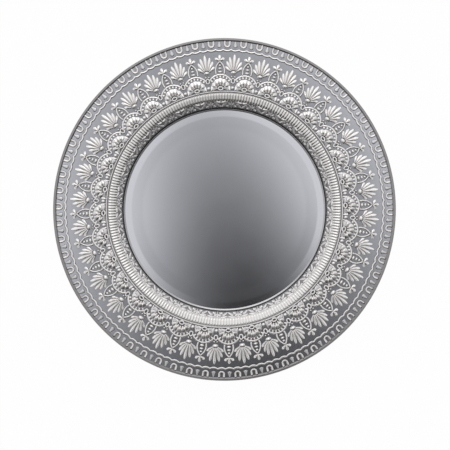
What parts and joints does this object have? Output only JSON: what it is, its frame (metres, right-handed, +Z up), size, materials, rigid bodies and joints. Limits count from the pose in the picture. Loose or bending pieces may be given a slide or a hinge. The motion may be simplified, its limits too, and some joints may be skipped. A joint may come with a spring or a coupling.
{
  "type": "charger plate",
  "caption": "Round antique-silver charger plate with a plain flat well, a ribbed collar and a wide rim in relief: palmettes, buds and shells inside a tongue-and-dart border",
  "frame": {"origin": "on the plate's axis, at the underside of its foot ring", "axes": "+Z up out of the well, +Y to the top of the picture, +X to its right"},
  "size_m": [0.33, 0.33, 0.0197],
  "materials": {
    "body": "satin antique silver",
    "lip": "satin antique silver",
    "relief": "satin silver, rubbed bright",
    "beads": "satin silver"
  },
  "bodies": {
    "root": {"plate_body": "body", "rim_lip": "lip", "border_tongues": "relief", "border_darts": "relief", "wave_line": "relief", "palmette_leaves": "relief", "palmette_bosses": "beads", "bud_loops": "relief", "bud_beads": "beads", "bud_trefoils": "relief", "shell_lobes": "relief", "shell_hinges": "relief", "arch_beads": "relief", "spandrel_beads": "beads", "spandrel_leaves": "relief", "base_leaves": "relief", "collar_fillet": "relief", "collar_ribs": "relief", "band_crosses": "relief", "band_swags": "relief", "well_bead": "relief"}
  },
  "joints": []
}
